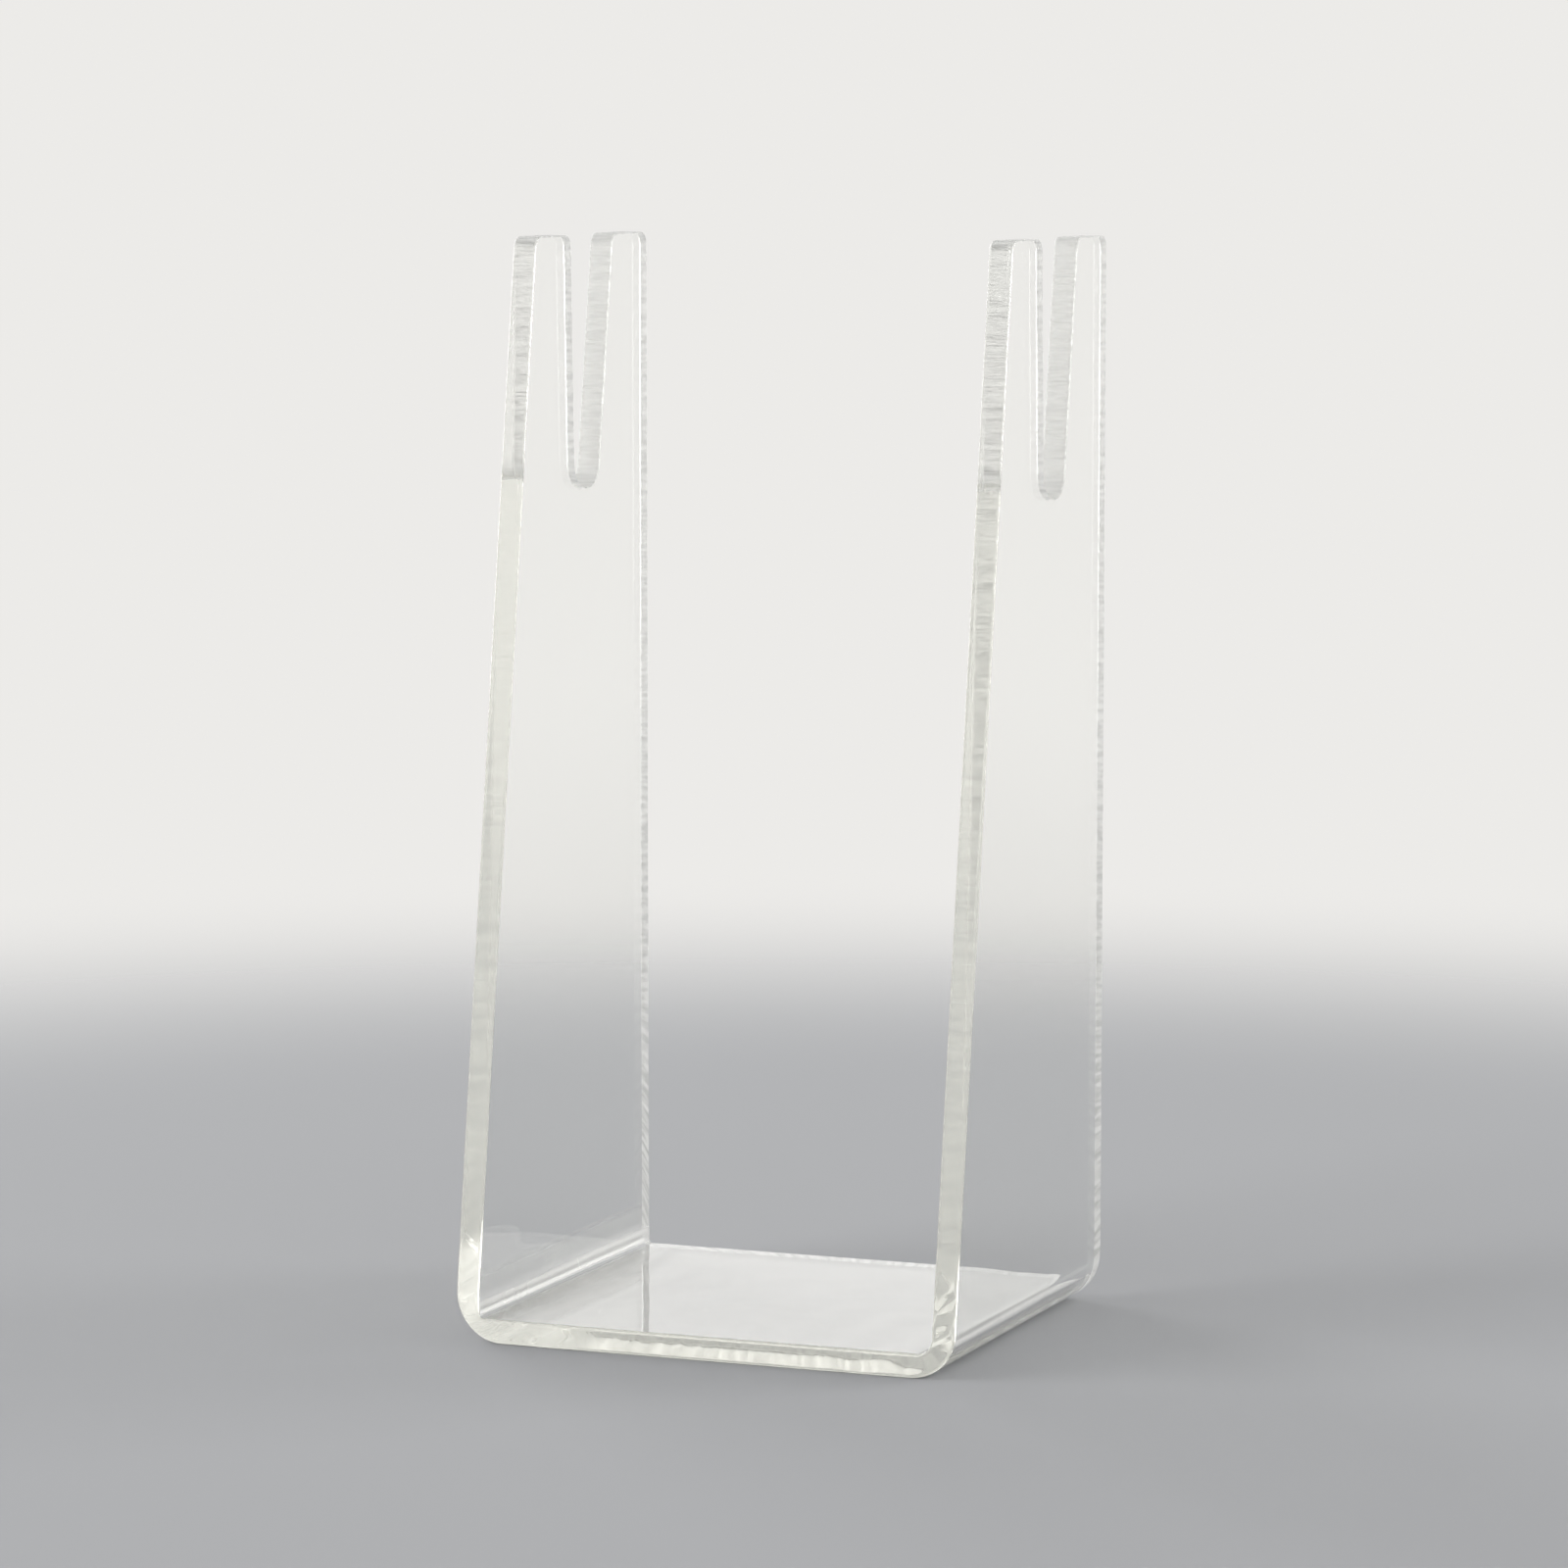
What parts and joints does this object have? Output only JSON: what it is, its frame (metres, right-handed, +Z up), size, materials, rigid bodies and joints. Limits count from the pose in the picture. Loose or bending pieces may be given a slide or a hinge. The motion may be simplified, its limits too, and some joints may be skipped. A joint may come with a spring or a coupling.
{
  "type": "racket display stand",
  "caption": "Clear acrylic sheet bent into a U, with tapered walls and slots open at the top that hold a table tennis racket upright.",
  "frame": {"origin": "on the table, under the middle of the base", "axes": "+Z up along the walls, +X across the stand from wall to wall, -Y the front, where the walls' edges lean back"},
  "size_m": [0.061, 0.05, 0.126],
  "materials": {
    "clear_acrylic": "clear, glossy faces, laser-cut edges that look white"
  },
  "bodies": {
    "root": {"bent_acrylic_stand": "clear_acrylic"}
  },
  "joints": []
}
